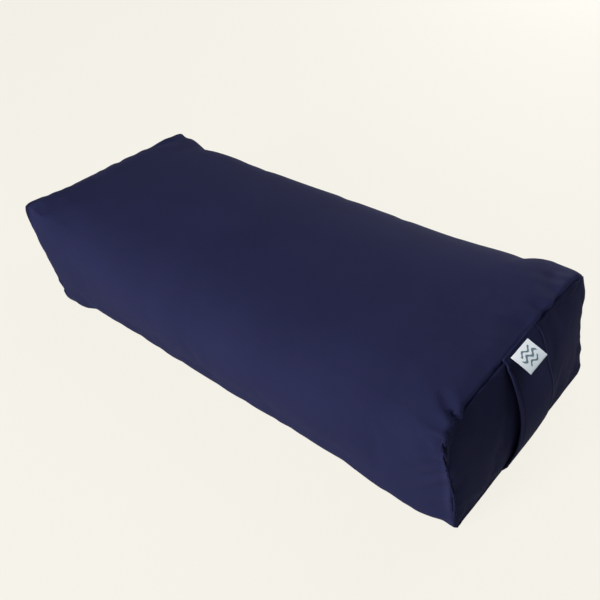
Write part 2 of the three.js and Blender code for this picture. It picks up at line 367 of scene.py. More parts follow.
# The corners that stand proud or are drawn in, as (end, side, top or bottom): how far each has moved.
EARS = {
    (-1, -1, 1): (-4, 0, 3),
    (-1, 1, 1): (6, 4, 4),
    (1, 1, 1): (-2, -2, -1),
    (1, -1, 1): (-4.5, -1, 1),
    (1, -1, -1): (2, 9, 7),
    (1, 1, -1): (3, 6, 4),
    (-1, -1, -1): (3, 4, 0),
}
TIPS = {(-1, -1, 1): (-2, -1, 3), (1, 1, 1): (-2, -2, 0)}
TIP_REACH = 11 * MM
# Fuller or slacker places, as (centre, reach, move), all in mm.
SWELLS = [
    ((270, 110, 150), 48, (0, 3, 6)),
    ((-230, 125, 145), 60, (0, 2, 3)),
    ((325, -133, 80), 26, (2, 4, 0)),
    ((325, 133, 80), 30, (0, -4, 0)),
    ((258, -138, 10), 34, (0, -5, -3)),
]
EAR_REACH = 37.5 * MM


def level_of(z):
    return (z + SETTLE) / HALF_RISE - 1


def side_coordinate(level):
    return level / (1 - abs(level) ** ROUND_MID) ** (1 / ROUND_MID)


def form(u, v, w):
    """Points of the crowned cushion for cube coordinates from -1 to 1."""
    u, v, w = (np.asarray(a, float) for a in (u, v, w))
    n = ROUND_MID + (ROUND_END - ROUND_MID) * smooth(np.abs(u), STRAIGHT, 1)
    rim = np.maximum(np.maximum(np.abs(v), np.abs(w)), 1e-9)
    k = np.maximum(np.abs(v / rim) ** n + np.abs(w / rim) ** n, 0.5) ** (-1 / n)
    across, up = v * k, w * k
    along = 1 - u * u
    high = level_of(ZIP_HIGH)
    swell = np.maximum(0, (1 - up) * (up - high)) / ((1 - high) / 2) ** 2
    share = np.where(u > 0, FRONT_SHARE, REAR_SHARE)
    rise = share + (1 - share) * (1 - np.abs(u) ** np.where(u > 0, 2, 2.6))
    crown = np.maximum(0, up) * rise * (1 - np.abs(across) ** (2 + 1.1 * smooth(u, 0.3, 1)))
    end = np.where(np.abs(u) > 0.99999, END_CROWN * (1 - across**2) * (1 - up**2), 0)
    return np.stack([
        u * HALF_LENGTH + np.sign(u) * end,
        across * (HALF_WIDTH + BELLY * along * swell),
        np.maximum(0, HALF_RISE * (1 + up) - SETTLE) + (CROWN + SEAM_CROWN) * crown,
    ], -1)


NU, NV, NW = ((92, 38, 21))


def spaced(count, edge, keep=()):
    """Evenly spaced values from -1 to 1, one more close to each end, and the nearest ones moved onto `keep`."""
    values = np.linspace(-1, 1, count + 1)
    for k in keep:
        values[np.argmin(np.abs(values - k))] = k
    return np.concatenate([[-1], [-1 + edge], values[1:-1], [1 - edge], [1]])


slot_low, slot_high = (side_coordinate(level_of(z)) for z in (SLOT_LOW, SLOT_HIGH))
slot_u = SLOT_END / HALF_LENGTH
US = spaced(NU, 0.008, (-slot_u, slot_u))
VS = spaced(NV, 0.017)
WS = spaced(NW, 0.03, (slot_low, slot_high))
nu, nv, nw = len(US) - 1, len(VS) - 1, len(WS) - 1


def build_lattice():
    """The cushion as a lattice on a cube: each point's place in it, their index, the faces, and each face's side."""
    index = -np.ones((nu + 1, nv + 1, nw + 1), int)
    keys = [
        (i, j, k)
        for i in range(nu + 1) for j in range(nv + 1) for k in range(nw + 1)
        if i in (0, nu) or j in (0, nv) or k in (0, nw)
    ]
    for n, key in enumerate(keys):
        index[key] = n
    faces, sides = [], []

    def quads(rows, columns, at, side, flip):
        for a in range(rows):
            for b in range(columns):
                q = [index[at(a, b)], index[at(a + 1, b)], index[at(a + 1, b + 1)], index[at(a, b + 1)]]
                faces.append(q[::-1] if flip else q)
                sides.append((side, a, b))

    quads(nu, nv, lambda a, b: (a, b, nw), "top", False)
    quads(nu, nv, lambda a, b: (a, b, 0), "bottom", True)
    quads(nu, nw, lambda a, b: (a, 0, b), "near", False)
    quads(nu, nw, lambda a, b: (a, nv, b), "far", True)
    quads(nv, nw, lambda a, b: (nu, a, b), "front", False)
    quads(nv, nw, lambda a, b: (0, a, b), "rear", True)
    keys = np.array(keys)
    return keys, index, faces, sides


keys, index, faces, sides = build_lattice()
cube = np.stack([US[keys[:, 0]], VS[keys[:, 1]], WS[keys[:, 2]]], -1)
rest = form(cube[:, 0], cube[:, 1], cube[:, 2])
corner_rest = {c: form(*[np.array(float(x)) for x in c]) for c in EARS}


def ear_shift(points):
    shift = np.zeros_like(points)
    for corner, move in EARS.items():
        d2 = ((points - corner_rest[corner]) ** 2).sum(-1)
        shift += np.exp(-d2 / (2 * EAR_REACH**2))[:, None] * np.array(move) * MM
        if corner in TIPS:
            shift += np.exp(-d2 / (2 * TIP_REACH**2))[:, None] * np.array(TIPS[corner]) * MM
    for centre, reach, move in SWELLS:
        d2 = ((points - np.array(centre) * MM) ** 2).sum(-1)
        shift += np.exp(-d2 / (2 * (reach * MM) ** 2))[:, None] * np.array(move) * MM
    x, y, z = points.T
    rear = np.exp(-(((x + HALF_LENGTH) / 0.07) ** 2)) * smooth(z, 0.06, 0.148)
    shift[:, 2] += rear * (2 * MM - 0.075 * y)
    front = np.exp(-(((HALF_LENGTH - x) / 0.05) ** 2)) * smooth(z, 0.1, 0.155)
    shift[:, 0] -= 4 * MM * front * (1 - np.abs(np.clip(y / HALF_WIDTH, -1, 1)) ** 3)
    return shift


def near_zip(points):
    """1 on the flat strip round the zip, where nothing may move, falling to 0 round it."""
    x, y, z = points.T
    off = np.hypot(np.maximum(0, np.abs(z - ZIP_MIDDLE) - ZIP_EDGE), np.maximum(0, np.abs(x) - ZIP_REACH))
    return smooth(y, HALF_WIDTH - 28 * MM, HALF_WIDTH - 12 * MM) * (1 - smooth(off, 0, ZIP_SOFT))


target = rest + ear_shift(rest)


def floor_clip(points):
    """Keeps the underside flat and just clear of the floor."""
    points = points.copy()
    z = points[:, 2]
    points[:, 2] = np.maximum(np.where(z < 2 * MM, np.maximum(z, 0) * 0.5, z), 0.2 * MM)
    return points


# ------------ puckers, from a cover too big for its seams

SIM_FRAMES = 22


def neighbour_average(values, edges, count, rounds):
    """Laplacian smoothing of a per-point field over the mesh's edges."""
    a, b = edges[:, 0], edges[:, 1]
    degree = np.bincount(np.concatenate([a, b]), minlength=count)[:, None].clip(1)
    out = values.copy()
    for _ in range(rounds):
        total = np.zeros_like(out)
        np.add.at(total, a, out[b])
        np.add.at(total, b, out[a])
        out = 0.4 * out + 0.6 * total / degree
    return out


def inflate(points):
    """Runs the cover as cloth with air inside it, held along its sewn seams, the zip and the floor."""
    obj = mesh_object("cover_sim", points, faces)
    held = np.zeros(len(points))
    ends = (keys[:, 0] == 0) | (keys[:, 0] == nu)
    rim = (keys[:, 1] == 0) | (keys[:, 1] == nv) | (keys[:, 2] == 0) | (keys[:, 2] == nw)
    held[ends & rim] = 1
    held[(keys[:, 2] == 0) & (points[:, 2] < 1 * MM)] = 1
    held = np.maximum(held, near_zip(points))
    group = obj.vertex_groups.new(name="held")
    for value in np.unique(np.round(held, 2)):
        if value > 0:
            group.add([int(i) for i in np.flatnonzero(np.round(held, 2) == value)], float(value), "REPLACE")
    cloth = obj.modifiers.new("cloth", "CLOTH")
    s = cloth.settings
    s.quality = 6
    s.mass = 0.12
    s.tension_stiffness = s.compression_stiffness = 22
    s.shear_stiffness = 8
    s.bending_stiffness = 0.35
    s.air_damping = 3
    s.use_pressure = True
    s.uniform_pressure_force = 4
    s.shrink_min = -0.022
    s.effector_weights.gravity = 0
    s.vertex_group_mass = "held"
    cloth.collision_settings.use_collision = False
    cloth.point_cache.frame_start, cloth.point_cache.frame_end = 1, SIM_FRAMES
    scene = bpy.context.scene
    for f in range(1, SIM_FRAMES + 1):
        scene.frame_set(f)
    graph = bpy.context.evaluated_depsgraph_get()
    made = obj.evaluated_get(graph).to_mesh()
    out = np.empty(len(points) * 3)
    made.vertices.foreach_get("co", out)
    obj.evaluated_get(graph).to_mesh_clear()
    scene.frame_set(1)
    bpy.data.objects.remove(obj)
    return out.reshape(-1, 3)


edge_set = np.array(sorted({tuple(sorted((f[i], f[(i + 1) % 4]))) for f in faces for i in range(4)}))


def sewn_and_filled(points):
    """The form with the cloth's own puckers, and its slack spread softly."""
    moved = inflate(points) - points
    length = np.linalg.norm(moved, axis=1, keepdims=True)
    moved *= np.minimum(1, 12 * MM / np.maximum(length, 1e-9))
    soft = neighbour_average(moved, edge_set, len(points), 14)
    free = (1 - near_zip(points))[:, None]
    near_end = np.exp(-(HALF_LENGTH - np.abs(points[:, :1])).clip(0) / 0.05)
    return points + free * ((moved - soft) * (0.3 + 0.6 * near_end) + soft * 0.2)


filled = floor_clip(sewn_and_filled(target))

# ------------ the cover's panels, cut from the filled form

perimeter_keys = (
    [(b, nw) for b in range(nv)] + [(nv, nw - b) for b in range(nw)]
    + [(nv - b, 0) for b in range(nv)] + [(0, b) for b in range(nw)]
)
middle = nu // 2
ring = np.array([filled[index[middle, a, b]] for a, b in perimeter_keys])
arc = np.concatenate([[0], np.cumsum(np.linalg.norm(np.diff(ring, axis=0), axis=1))])
arc_of = {key: arc[n] for n, key in enumerate(perimeter_keys)}
arc_total = arc[-1] + float(np.linalg.norm(ring[-1] - ring[0]))


def cut_panel(name, wanted, uv_of):
    """A piece of the lattice as its own mesh, with its flat cloth coordinates in a UV layer."""
    chosen = [(f, s) for f, s in zip(faces, sides) if wanted(s)]
    used = sorted({i for f, _ in chosen for i in f})
    renumber = {old: new for new, old in enumerate(used)}
    obj = mesh_object(name, filled[used], [[renumber[i] for i in f] for f, _ in chosen])
    set_uv(obj, [
        uv_of(keys[used[v]], side) for (_, side), polygon in zip(chosen, obj.data.polygons) for v in polygon.vertices
    ])
    return obj


def wrap_uv(key, side):
    i, j, k = (int(c) for c in key)
    round_it = {"top": (j, nw), "far": (nv, k), "bottom": (j, 0), "near": (0, k)}[side[0]]
    last = side[0] == "near" and k == nw
    return US[i] * HALF_LENGTH, arc_total if last else arc_of[round_it]


def end_uv(key, side):
    return VS[key[1]] * HALF_WIDTH, WS[key[2]] * HALF_RISE


def in_slot(side):
    name, a, b = side
    return (
        name == "far"
        and US[a] >= -slot_u - 1e-6 and US[a + 1] <= slot_u + 1e-6
        and WS[b] >= slot_low - 1e-6 and WS[b + 1] <= slot_high + 1e-6
    )


wrap = cut_panel("cover_wrap_canvas", lambda s: s[0] not in ("front", "rear") and not in_slot(s), wrap_uv)
front = cut_panel("cover_end_front_canvas", lambda s: s[0] == "front", end_uv)
rear = cut_panel("cover_end_rear_canvas", lambda s: s[0] == "rear", end_uv)


def turn_in(obj, steps):
    """Turns the panel's raw edges in: each edge grows by one row per step, put at step(place, normal)."""
    bm = bmesh.new()
    bm.from_mesh(obj.data)
    bm.normal_update()
    edges = [e for e in bm.edges if e.is_boundary]
    source = {v: (v.co.copy(), v.normal.copy()) for e in edges for v in e.verts}
    for step in steps:
        made = bmesh.ops.extrude_edge_only(bm, edges=edges)["geom"]
        edges = [g for g in made if isinstance(g, bmesh.types.BMEdge) and g.is_boundary]
        for v in [g for g in made if isinstance(g, bmesh.types.BMVert)]:
            before = next(e.other_vert(v) for e in v.link_edges if e.other_vert(v) in source)
            source[v] = source[before]
            v.co = source[v][0] + Vector(step(*source[v]))
    bm.normal_update()
    bm.to_mesh(obj.data)
    bm.free()
    obj.data.polygons.foreach_set("use_smooth", [True] * len(obj.data.polygons))


def wrap_step(inward, along):
    """One step of the wrap's turned-in edge: at an end seam in and along, at the zip straight in."""
    def step(place, normal):
        if abs(place.x) > HALF_LENGTH * 0.97:
            into = Vector((0, normal.y, normal.z))
            into = into.normalized() if into.length > 1e-6 else Vector((0, 0, 1))
            return -into * inward + Vector((math.copysign(along, place.x), 0, 0))
        return -normal * inward * 0.6
    return step


def end_step(inward, along):
    """One step of an end panel's turned-in edge, towards the panel's middle and into the cushion."""
    def step(place, normal):
        into = Vector((0, -place.y, -(place.z - CORNER_TOP / 2)))
        into.y = math.copysign(min(abs(into.y), HALF_WIDTH), into.y) / HALF_WIDTH
        into.z = into.z / (CORNER_TOP / 2)
        return into * inward * 0.7 + Vector((-math.copysign(along, place.x), 0, 0))
    return step


turn_in(wrap, [wrap_step(1.2 * MM, 0.3 * MM), wrap_step(4 * MM, 0.2 * MM)])
for panel in (front, rear):
    turn_in(panel, [end_step(0.6 * MM, -0.1 * MM), end_step(1.4 * MM, 1.6 * MM), end_step(2 * MM, 5 * MM)])


def subdivide(obj, levels=1):
    m = obj.modifiers.new("smooth", "SUBSURF")
    m.levels = m.render_levels = levels
    m.subdivision_type = "CATMULL_CLARK"
    m.uv_smooth = "PRESERVE_BOUNDARIES"
    m.boundary_smooth = "PRESERVE_CORNERS"
    apply_modifiers(obj)


for panel in (wrap, front, rear):
    subdivide(panel)


# ------------ what stitching and handling leave in the cloth


def puckers(points, distance, along, length, amplitude, pitch, seed):
    """Ridges that start at a seam and fade into the cloth."""
    fall = (distance / (distance + 3 * MM)) * np.exp(-distance / length)
    values = np.array([
        noise.noise(Vector((a / pitch + 0.9 * d / length, s, d / (length * 2.5))))
        for a, d, s in zip(along, distance, seed)
    ])
    patch = np.array([0.55 + 0.75 * noise.noise(Vector((a / 0.075, s + 9, 0.3))) for a, s in zip(along, seed)])
    return amplitude * fall * values * np.clip(patch, 0.1, 1.4)


def crease(points, start, end, width, depth):
    """A valley with a small ridge beside it, along a line between two points."""
    a, b = np.array(start), np.array(end)
    d = b - a
    t = np.clip(((points - a) @ d) / (d @ d), 0, 1)
    gap = np.linalg.norm(points - (a + t[:, None] * d), axis=1)
    ends = np.sin(np.pi * np.clip(0.12 + t * 0.88, 0, 1)) ** 0.7
    return depth * ends * (0.45 * np.exp(-(((gap - 2 * width) / width) ** 2)) - np.exp(-((gap / width) ** 2)))


CREASES = [
    # start, end, half width, depth, in mm
    ((323, -114, 155), (308, -106, 157), 3.6, 6.3),
    ((310, -107, 157), (292, -93, 158), 4.2, 3.0),
    ((325, -134, 142), (305, -136, 144), 3.6, 6.0),
    ((307, -137, 143), (298, -136, 150), 3.6, 2.4),
    ((325, -134, 131), (308, -137, 126), 3.2, 4.2),
    ((323, -134, 113), (300, -137, 105), 3.4, 3.3),
    ((322, -134, 98), (298, -137, 84), 4.0, 2.7),
    ((325, -134, 80), (300, -136, 60), 5.0, 2.1),
    ((325, 110, 150), (306, 104, 156), 5.0, 1.8),
    ((325, 40, 160), (304, 46, 163), 5.5, 1.6),
    ((325, 66, 158), (300, 74, 161), 6.0, 1.2),
    ((-325, -118, 158), (-298, -108, 160), 6.0, 1.2),
    ((-325, 120, 142), (-302, 112, 150), 6.0, 1.0),
]


def relax_and_crease(obj, kind):
    """Moves the panel's points by its puckers, creases and soft unevenness, and marks its seams, a painted shade below
    the end panels' top seam, and its wear.
    """
    points = coords(obj)
    normal = coords(obj, "normal")
    x, y, z = points.T
    zip_free = 1 - near_zip(points)
    if kind == "wrap":
        d = np.maximum(HALF_LENGTH - np.abs(x), 0)
        on_side = np.abs(y) > HALF_WIDTH - 12 * MM
        along = np.where(on_side, z + 0.5, y)
        moved = puckers(points, d, along, 26 * MM, 3.2 * MM, 13 * MM, 3.1 + (x > 0) * 5)
        moved *= 1 + 0.6 * (x > 0) * smooth(-y, HALF_WIDTH - 40 * MM, HALF_WIDTH - 10 * MM)
        soft = value_noise(points, 0.085, 4.2)
        wide = value_noise(points, 0.19, 8.2)
        moved += (soft * 0.9 + wide * 1.6) * MM * smooth(d, 0.01, 0.06)
        for a, b, width, depth in CREASES:
            moved += crease(points, np.array(a) * MM, np.array(b) * MM, width * MM, depth * MM)
        seam = np.exp(-d / (2.2 * MM))
    else:
        dy = np.maximum(HALF_WIDTH - np.abs(y), 0)
        top = SEAM_TOP - SEAM_CROWN * (y / HALF_WIDTH) ** 2
        dt, db = np.maximum(top - z, 0), np.maximum(z, 0)
        moved = puckers(points, dy, z, 24 * MM, 2.6 * MM, 15 * MM, 12.5 + (x > 0) * 3)
        moved += puckers(points, dt, y, 24 * MM, 2.6 * MM, 15 * MM, 22.5 + (x > 0) * 3)
        moved += puckers(points, db, y, 20 * MM, 2.2 * MM, 16 * MM, 32.5 + (x > 0) * 3)
        moved += value_noise(points, 0.07, 14.2) * 1.1 * MM
        seam = np.exp(-np.minimum(np.minimum(dy, dt), db) / (2.2 * MM))
        # painted shade: a broad darkening below the end panel's top seam, where the wrap's overhang shades it
        seam = np.maximum(seam, 0.85 * np.exp(-dt / (45 * MM)))
    bare = smooth(z, 1.5 * MM, 9 * MM)
    points = points + normal * (moved * zip_free * bare)[:, None]
    points[:, 2] = np.maximum(points[:, 2], 0.15 * MM)
    set_coords(obj, points)
    wear = np.zeros(len(points))
    if kind == "wrap":
        wear = np.exp(-((d - 4 * MM) / (3 * MM)) ** 2)
        wear *= 0.35 + 0.65 * np.clip(value_noise(points, 0.02, 1.7) + 0.3, 0, 1)
    set_fields(obj, seam=seam, wear=wear)


relax_and_crease(wrap, "wrap")
relax_and_crease(front, "end")
relax_and_crease(rear, "end")


def thicken(obj, thickness):
    m = obj.modifiers.new("cloth", "SOLIDIFY")
    m.thickness = thickness
    m.offset = -1
    m.use_even_offset = False
    m.use_rim = True
    apply_modifiers(obj)


for panel in (wrap, front, rear):
    thicken(panel, 0.9 * MM)
    finish_piece(panel, canvas, "cover", "canvas")
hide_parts("cover_wrap")
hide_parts("cover_end_front")
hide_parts("cover_end_rear")

panel_tree = BVHTree.FromPolygons(
    [v.co.copy() for v in front.data.vertices], [tuple(p.vertices) for p in front.data.polygons]
)


def panel_face(y, z, fallback):
    """Outermost x of the front end panel at that height and side."""
    hit = panel_tree.ray_cast(Vector((HALF_LENGTH + 0.08, y, z)), Vector((-1, 0, 0)))
    return hit[0].x if hit[0] is not None else fallback


# ------------ the carry strap, in two halves

STRAP_HALF = (strap_hi[1] - strap_lo[1]) / 2
STRAP_MIDDLE = (strap_hi[1] + strap_lo[1]) / 2
STRAP_THICK = 2.4 * MM
CHANNEL = 4 * MM  # from the strap's edge to its row of stitches
STRAP_OUT = 21.8 * MM  # how far its outer face stands from the end seam's plane, half way up
Z_LOW, Z_HIGH = 0.8 * MM, SEAM_TOP - 3 * MM
Z_MID = (strap_lo[2] + strap_hi[2]) / 2


def strap_inner(y, z):
    """x of the strap's inner face."""
    t = min(1, max(0, z / Z_HIGH))
    bow = STRAP_OUT * math.sin(math.pi * t) ** (0.75 if t < 0.5 else 1)
    outer = HALF_LENGTH + bow - 4.5 * MM * float(smooth(z, 0.145, Z_HIGH))
    q = (y - STRAP_MIDDLE) / STRAP_HALF
    lean = -1.0 * MM * q * q * math.sin(math.pi * t)
    lean -= 4 * MM * float(smooth(q, -0.3, 1)) * math.exp(-(((z - 0.125) / 0.024) ** 2))
    ripple = 0.6 * MM * noise.noise(Vector((y / 0.03, z / 0.05, 3.3))) * math.sin(math.pi * t)
    inner = outer - STRAP_THICK + lean + ripple
    if 0.012 < z < Z_HIGH - 3 * MM:
        inner = max(inner, max(panel_face(y + dy, z, 0) for dy in (-2 * MM, 0, 2 * MM)) + 0.6 * MM)
    return inner


def strap_half(name, z_from, z_to, rows, columns):
    """Half of the strap as a closed band with round edges and a stitched channel near each edge."""
    half, thick = STRAP_HALF, STRAP_THICK

    def dent(across):
        return 0.55 * MM * math.exp(-(((half - abs(across) - CHANNEL) / (0.8 * MM)) ** 2))

    channels = [s * (half - CHANNEL + d * MM) for s in (-1, 1) for d in (-1.4, -0.5, 0, 0.5, 1.4)]
    ys = np.unique(np.concatenate([np.linspace(-1, 1, columns + 1) * half, channels]))
    edge = [(half + 0.5 * MM, thick * 0.72), (half + 0.65 * MM, thick * 0.5), (half + 0.5 * MM, thick * 0.28)]
    # (across, out) round the strap's section
    outline = [(a, thick - dent(a)) for a in ys] + edge
    outline += [(a, 0.0) for a in ys[::-1]] + [(-a, o) for a, o in edge[::-1]]
    count = len(outline)
    verts, quads = [], []
    zs = np.linspace(z_from, z_to, rows + 1)
    for z in zs:
        t = (z - Z_LOW) / (Z_HIGH - Z_LOW)
        narrow = 1 - 0.05 * math.exp(-((min(t, 1 - t) / 0.05) ** 2))
        inner = {}
        for a, out in outline:
            key = round(a, 7)
            if key not in inner:
                inner[key] = strap_inner(STRAP_MIDDLE + max(-half, min(half, a)) * narrow, z)
            verts.append((inner[key] + out, STRAP_MIDDLE + a * narrow, z))
    for r in range(rows):
        for c in range(count):
            d = (c + 1) % count
            quads.append((r * count + c, r * count + d, (r + 1) * count + d, (r + 1) * count + c))
    quads.append(tuple(range(count))[::-1])
    quads.append(tuple(rows * count + c for c in range(count)))
    obj = mesh_object(name, verts, quads)
    travel = [0]
    for c in range(1, count):
        travel.append(travel[-1] + math.hypot(outline[c][0] - outline[c - 1][0], outline[c][1] - outline[c - 1][1]))
    travel.append(travel[-1] + thick)
    values = []
    for p in obj.data.polygons:
        columns_on = [v % count for v in p.vertices]
        wraps = len(columns_on) == 4 and 0 in columns_on and count - 1 in columns_on
        for v, c in zip(p.vertices, columns_on):
            values.append((travel[count] if wraps and c == 0 else travel[c], zs[v // count]))
    set_uv(obj, values)
    face_outward(obj, lambda edge: any(len(f.verts) > 4 for f in edge.link_faces))
    edge_gap = half - np.abs(coords(obj)[:, 1] - STRAP_MIDDLE)
    set_fields(
        obj,
        seam=0.75 * np.exp(-((edge_gap - CHANNEL) / (1.0 * MM)) ** 2),
        wear=0.8 * np.exp(-((edge_gap / (1.6 * MM)) ** 2)),
    )
    return obj


rows = 34
strap_lower = strap_half("carry_strap_lower", Z_LOW, Z_MID, rows, 10)
strap_upper = strap_half("carry_strap_upper", Z_MID, Z_HIGH, rows, 10)


def bend_strap(obj):
    """Bakes a piece's placement into its mesh."""
    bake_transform(obj)


def stitch_row(name, places, outs, length, gap, radius, material):
    """Sewn stitches along a line of places, each a short thread that dips in at both ends."""
    places = [Vector(p) for p in places]
    outs = [Vector(o) for o in outs]
    travel = [0.0]
    for a, b in zip(places, places[1:]):
        travel.append(travel[-1] + (b - a).length)

    def at(s):
        s = min(max(s, 0), travel[-1] - 1e-9)
        k = max(i for i in range(len(travel)) if travel[i] <= s)
        k = min(k, len(places) - 2)
        f = (s - travel[k]) / max(travel[k + 1] - travel[k], 1e-9)
        return places[k].lerp(places[k + 1], f), outs[k].lerp(outs[k + 1], f).normalized()

    verts, quads = [], []
    # along the stitch, how high, how fat
    steps = ((0.0, -0.5, 0.35), (0.12, 0.25, 0.8), (0.5, 0.55, 1.0), (0.88, 0.25, 0.8), (1.0, -0.5, 0.35))
    s, near = gap, 0.2 * MM
    while s + length < travel[-1] - gap / 2:
        base = len(verts)
        for f, lift, fat in steps:
            p, out = at(s + f * length)
            ahead = at(min(s + f * length + near, travel[-1]))[0] - at(max(s + f * length - near, 0))[0]
            side = ahead.normalized().cross(out).normalized()
            for c in range(6):
                a = math.pi * c / 3
                verts.append(p + out * (lift * radius + math.sin(a) * radius * fat) + side * math.cos(a) * radius * fat)
        for row in range(base, base + 6 * (len(steps) - 1), 6):
            for c in range(6):
                d = (c + 1) % 6
                quads.append((row + c, row + d, row + 6 + d, row + 6 + c))
        quads.append(tuple(base + c for c in range(6))[::-1])
        quads.append(tuple(base + (len(steps) - 1) * 6 + c for c in range(6)))
        s += length + gap
    obj = mesh_object(name, verts, quads)
    face_outward(obj)
    obj.data.materials.append(material)
    return obj


def thread_material(name, colour, light):
    """Twisted thread: fine diagonal plies with a soft sheen."""
    n = Nodes(name)
    wave = n.add("ShaderNodeTexWave", Scale=900.0, Distortion=1.5)
    wave.bands_direction = "DIAGONAL"
    n.link(n.place, wave.inputs["Vector"])
    tone = n.noise(400, 2)
    base = n.mix(n.math("MULTIPLY", n.math("ADD", wave.outputs["Fac"], tone), 0.5), colour, light)
    n.surface(Base_Color=base, Roughness=0.6, Specular_IOR_Level=0.1)
    n.bump(wave.outputs["Fac"], 0.5, 0.12 * MM)
    return n.material


navy_thread = thread_material("navy_thread", linear(15, 17, 36), linear(24, 26, 48))

for upper, strap in ((True, strap_upper), (False, strap_lower)):
    strap.data.materials.append(canvas)
    bend_strap(strap)
    for side in (-1, 1):
        y = STRAP_MIDDLE + side * (STRAP_HALF - CHANNEL)
        zs = np.linspace(Z_MID, Z_HIGH - 2 * MM, 40) if upper else np.linspace(Z_LOW + 2 * MM, Z_MID, 40)
        places = [(strap_inner(y, z) + STRAP_THICK - 0.5 * MM, y, z) for z in zs]
        outs = []
        for k in range(len(places)):
            a, b = places[max(k - 1, 0)], places[min(k + 1, len(places) - 1)]
            outs.append((b[2] - a[2], 0, a[0] - b[0]))
        name = f"strap_stitches_{'upper' if upper else 'lower'}_{'left' if side < 0 else 'right'}"
        row = stitch_row(name, places, outs, 2.5 * MM, 0.9 * MM, 0.26 * MM, navy_thread)
        bend_strap(row)
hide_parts("handle_head", "carry_handle")
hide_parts("handle_foot")

# ------------ the woven label, folded double

flip = joints["label_flip"]
PIVOT = Vector(flip["pos_m"])
LABEL_HALF = (label_hi[1] - label_lo[1]) / 2
LABEL_MIDDLE = (label_hi[1] + label_lo[1]) / 2
LABEL_LONG = 22.5 * MM
DROOP = math.radians(26)
WAVE_LENGTH = 10.5 * MM
# The motif's waves, in mm: place down the label, half length, swing, half thickness.
WAVES = ((5.8, 8.5, 1.6, 1.1), (11.2, 11.2, 1.8, 1.4), (16.8, 7.5, 1.4, 1.0))


def label_material():
    """White satin tape: fine ribs and three plain teal waves."""
    n = Nodes("label_satin")
    flat = n.uv()
    across, down = n.split(flat)[:2]
    warp = n.math("ABSOLUTE", n.math("SINE", n.math("MULTIPLY", across, math.pi / 0.00032)))
    weft = n.math("ABSOLUTE", n.math("SINE", n.math("MULTIPLY", down, math.pi / 0.00045)))
    ribs = n.math("ADD", n.math("MULTIPLY", warp, 0.35), n.math("MULTIPLY", weft, 0.65))
    white = n.mix(n.noise(90, 3, 0.6, flat), linear(172, 180, 186), linear(192, 197, 200))
    white = n.mix(n.math("MULTIPLY", n.math("SUBTRACT", 1.0, ribs), 0.35), white, linear(150, 160, 168))
    # painted shade: the tape grows darker and bluer towards its folded tip
    low = n.math("MULTIPLY", down, 1 / LABEL_LONG, True)
    white = n.mix(n.math("MULTIPLY", low, 0.45), white, linear(128, 148, 164))
    motif = None
    for middle_at, half_long, swing, thick in WAVES:
        wave = n.math("MULTIPLY", n.math("SINE", n.math("MULTIPLY", across, 2 * math.pi / WAVE_LENGTH)), swing * MM)
        gap = n.math("ABSOLUTE", n.math("SUBTRACT", n.math("SUBTRACT", down, middle_at * MM), wave))
        line = n.math("LESS_THAN", gap, thick * MM)
        inside = n.math("LESS_THAN", n.math("ABSOLUTE", across), half_long * MM)
        both = n.math("MULTIPLY", line, inside)
        motif = both if motif is None else n.math("MAXIMUM", motif, both)
    teal = n.mix(ribs, linear(10, 50, 66), linear(18, 72, 88))
    base = n.mix(motif, white, teal)
    n.surface(Base_Color=base, Roughness=0.5, Sheen_Weight=0.2)
    n.bump(n.math("ADD", ribs, n.math("MULTIPLY", motif, 0.8)), 0.45, 0.14 * MM)
    return n.material


def make_label():
    """The folded tape, slightly curled and puffed."""
    ply, half = 0.38 * MM, 0.62 * MM
    fold = LABEL_LONG - half
    ss = list(np.linspace(0, fold, 15))
    arc_steps = [math.radians(a) for a in (30, 60, 90, 120, 150)]

    def folded(h):
        turn = [(fold + h * math.sin(a), h * math.cos(a)) for a in arc_steps]
        return [(s, h) for s in ss] + turn + [(s, -h) for s in ss[::-1]]

    outer = folded(half)
    profile = outer + folded(half - ply)[::-1]
    ys = np.linspace(-LABEL_HALF, LABEL_HALF, 17)
    along = Vector((math.cos(DROOP), 0, -math.sin(DROOP)))
    out = Vector((math.sin(DROOP), 0, math.cos(DROOP)))
    verts, quads = [], []
    for y in ys:
        q = y / LABEL_HALF
        for s, h in profile:
            t = s / LABEL_LONG
            curl = 1.1 * MM * t * t * (0.6 * q * q - 0.25) + 0.5 * MM * math.sin(math.pi * t) * (1 - 0.4 * q)
            curl += 0.18 * MM * noise.noise(Vector((y / 0.006, s / 0.008, 1.3)))
            puff = 1 + 0.5 * math.sin(math.pi * min(1, t)) * (1 - q * q)
            p = PIVOT + along * s + out * (h * puff + curl)
            verts.append((p.x, LABEL_MIDDLE + y, p.z))
    count = len(profile)
    for r in range(len(ys) - 1):
        for c in range(count):
            d = (c + 1) % count
            quads.append((r * count + c, r * count + d, (r + 1) * count + d, (r + 1) * count + c))
    half_count = len(outer)
    for r, flip_side in ((0, False), (len(ys) - 1, True)):
        for c in range(half_count - 1):
            inner_c, inner_d = count - 1 - c, count - 2 - c
            q = [r * count + c, r * count + c + 1, r * count + inner_d, r * count + inner_c]
            quads.append(tuple(q if flip_side else q[::-1]))
    obj = mesh_object("woven_label", verts, quads)
    set_uv(obj, [(ys[v // count], profile[v % count][0]) for p in obj.data.polygons for v in p.vertices])
    face_outward(obj, lambda edge: len(edge.link_faces) == 2 and edge.calc_face_angle(0) > math.radians(50))
    finish_piece(obj, label_material(), "label", "label_tape", "label")


make_label()

# ------------ the zip

swing = joints["pull_swing"]
ZIP_UP = Vector(swing["axis"]).normalized()
ZIP_OUT = Vector((0, ZIP_UP.z, -ZIP_UP.y))
ZIP_AT = Vector(swing["pos_m"]) - ZIP_OUT * 2.6 * MM
ZIP_AT.x = 0
coil_lo, coil_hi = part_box("zip_coil_upper")


def zip_point(x, up, out):
    return ZIP_AT + Vector((x, 0, 0)) + ZIP_UP * up + ZIP_OUT * out


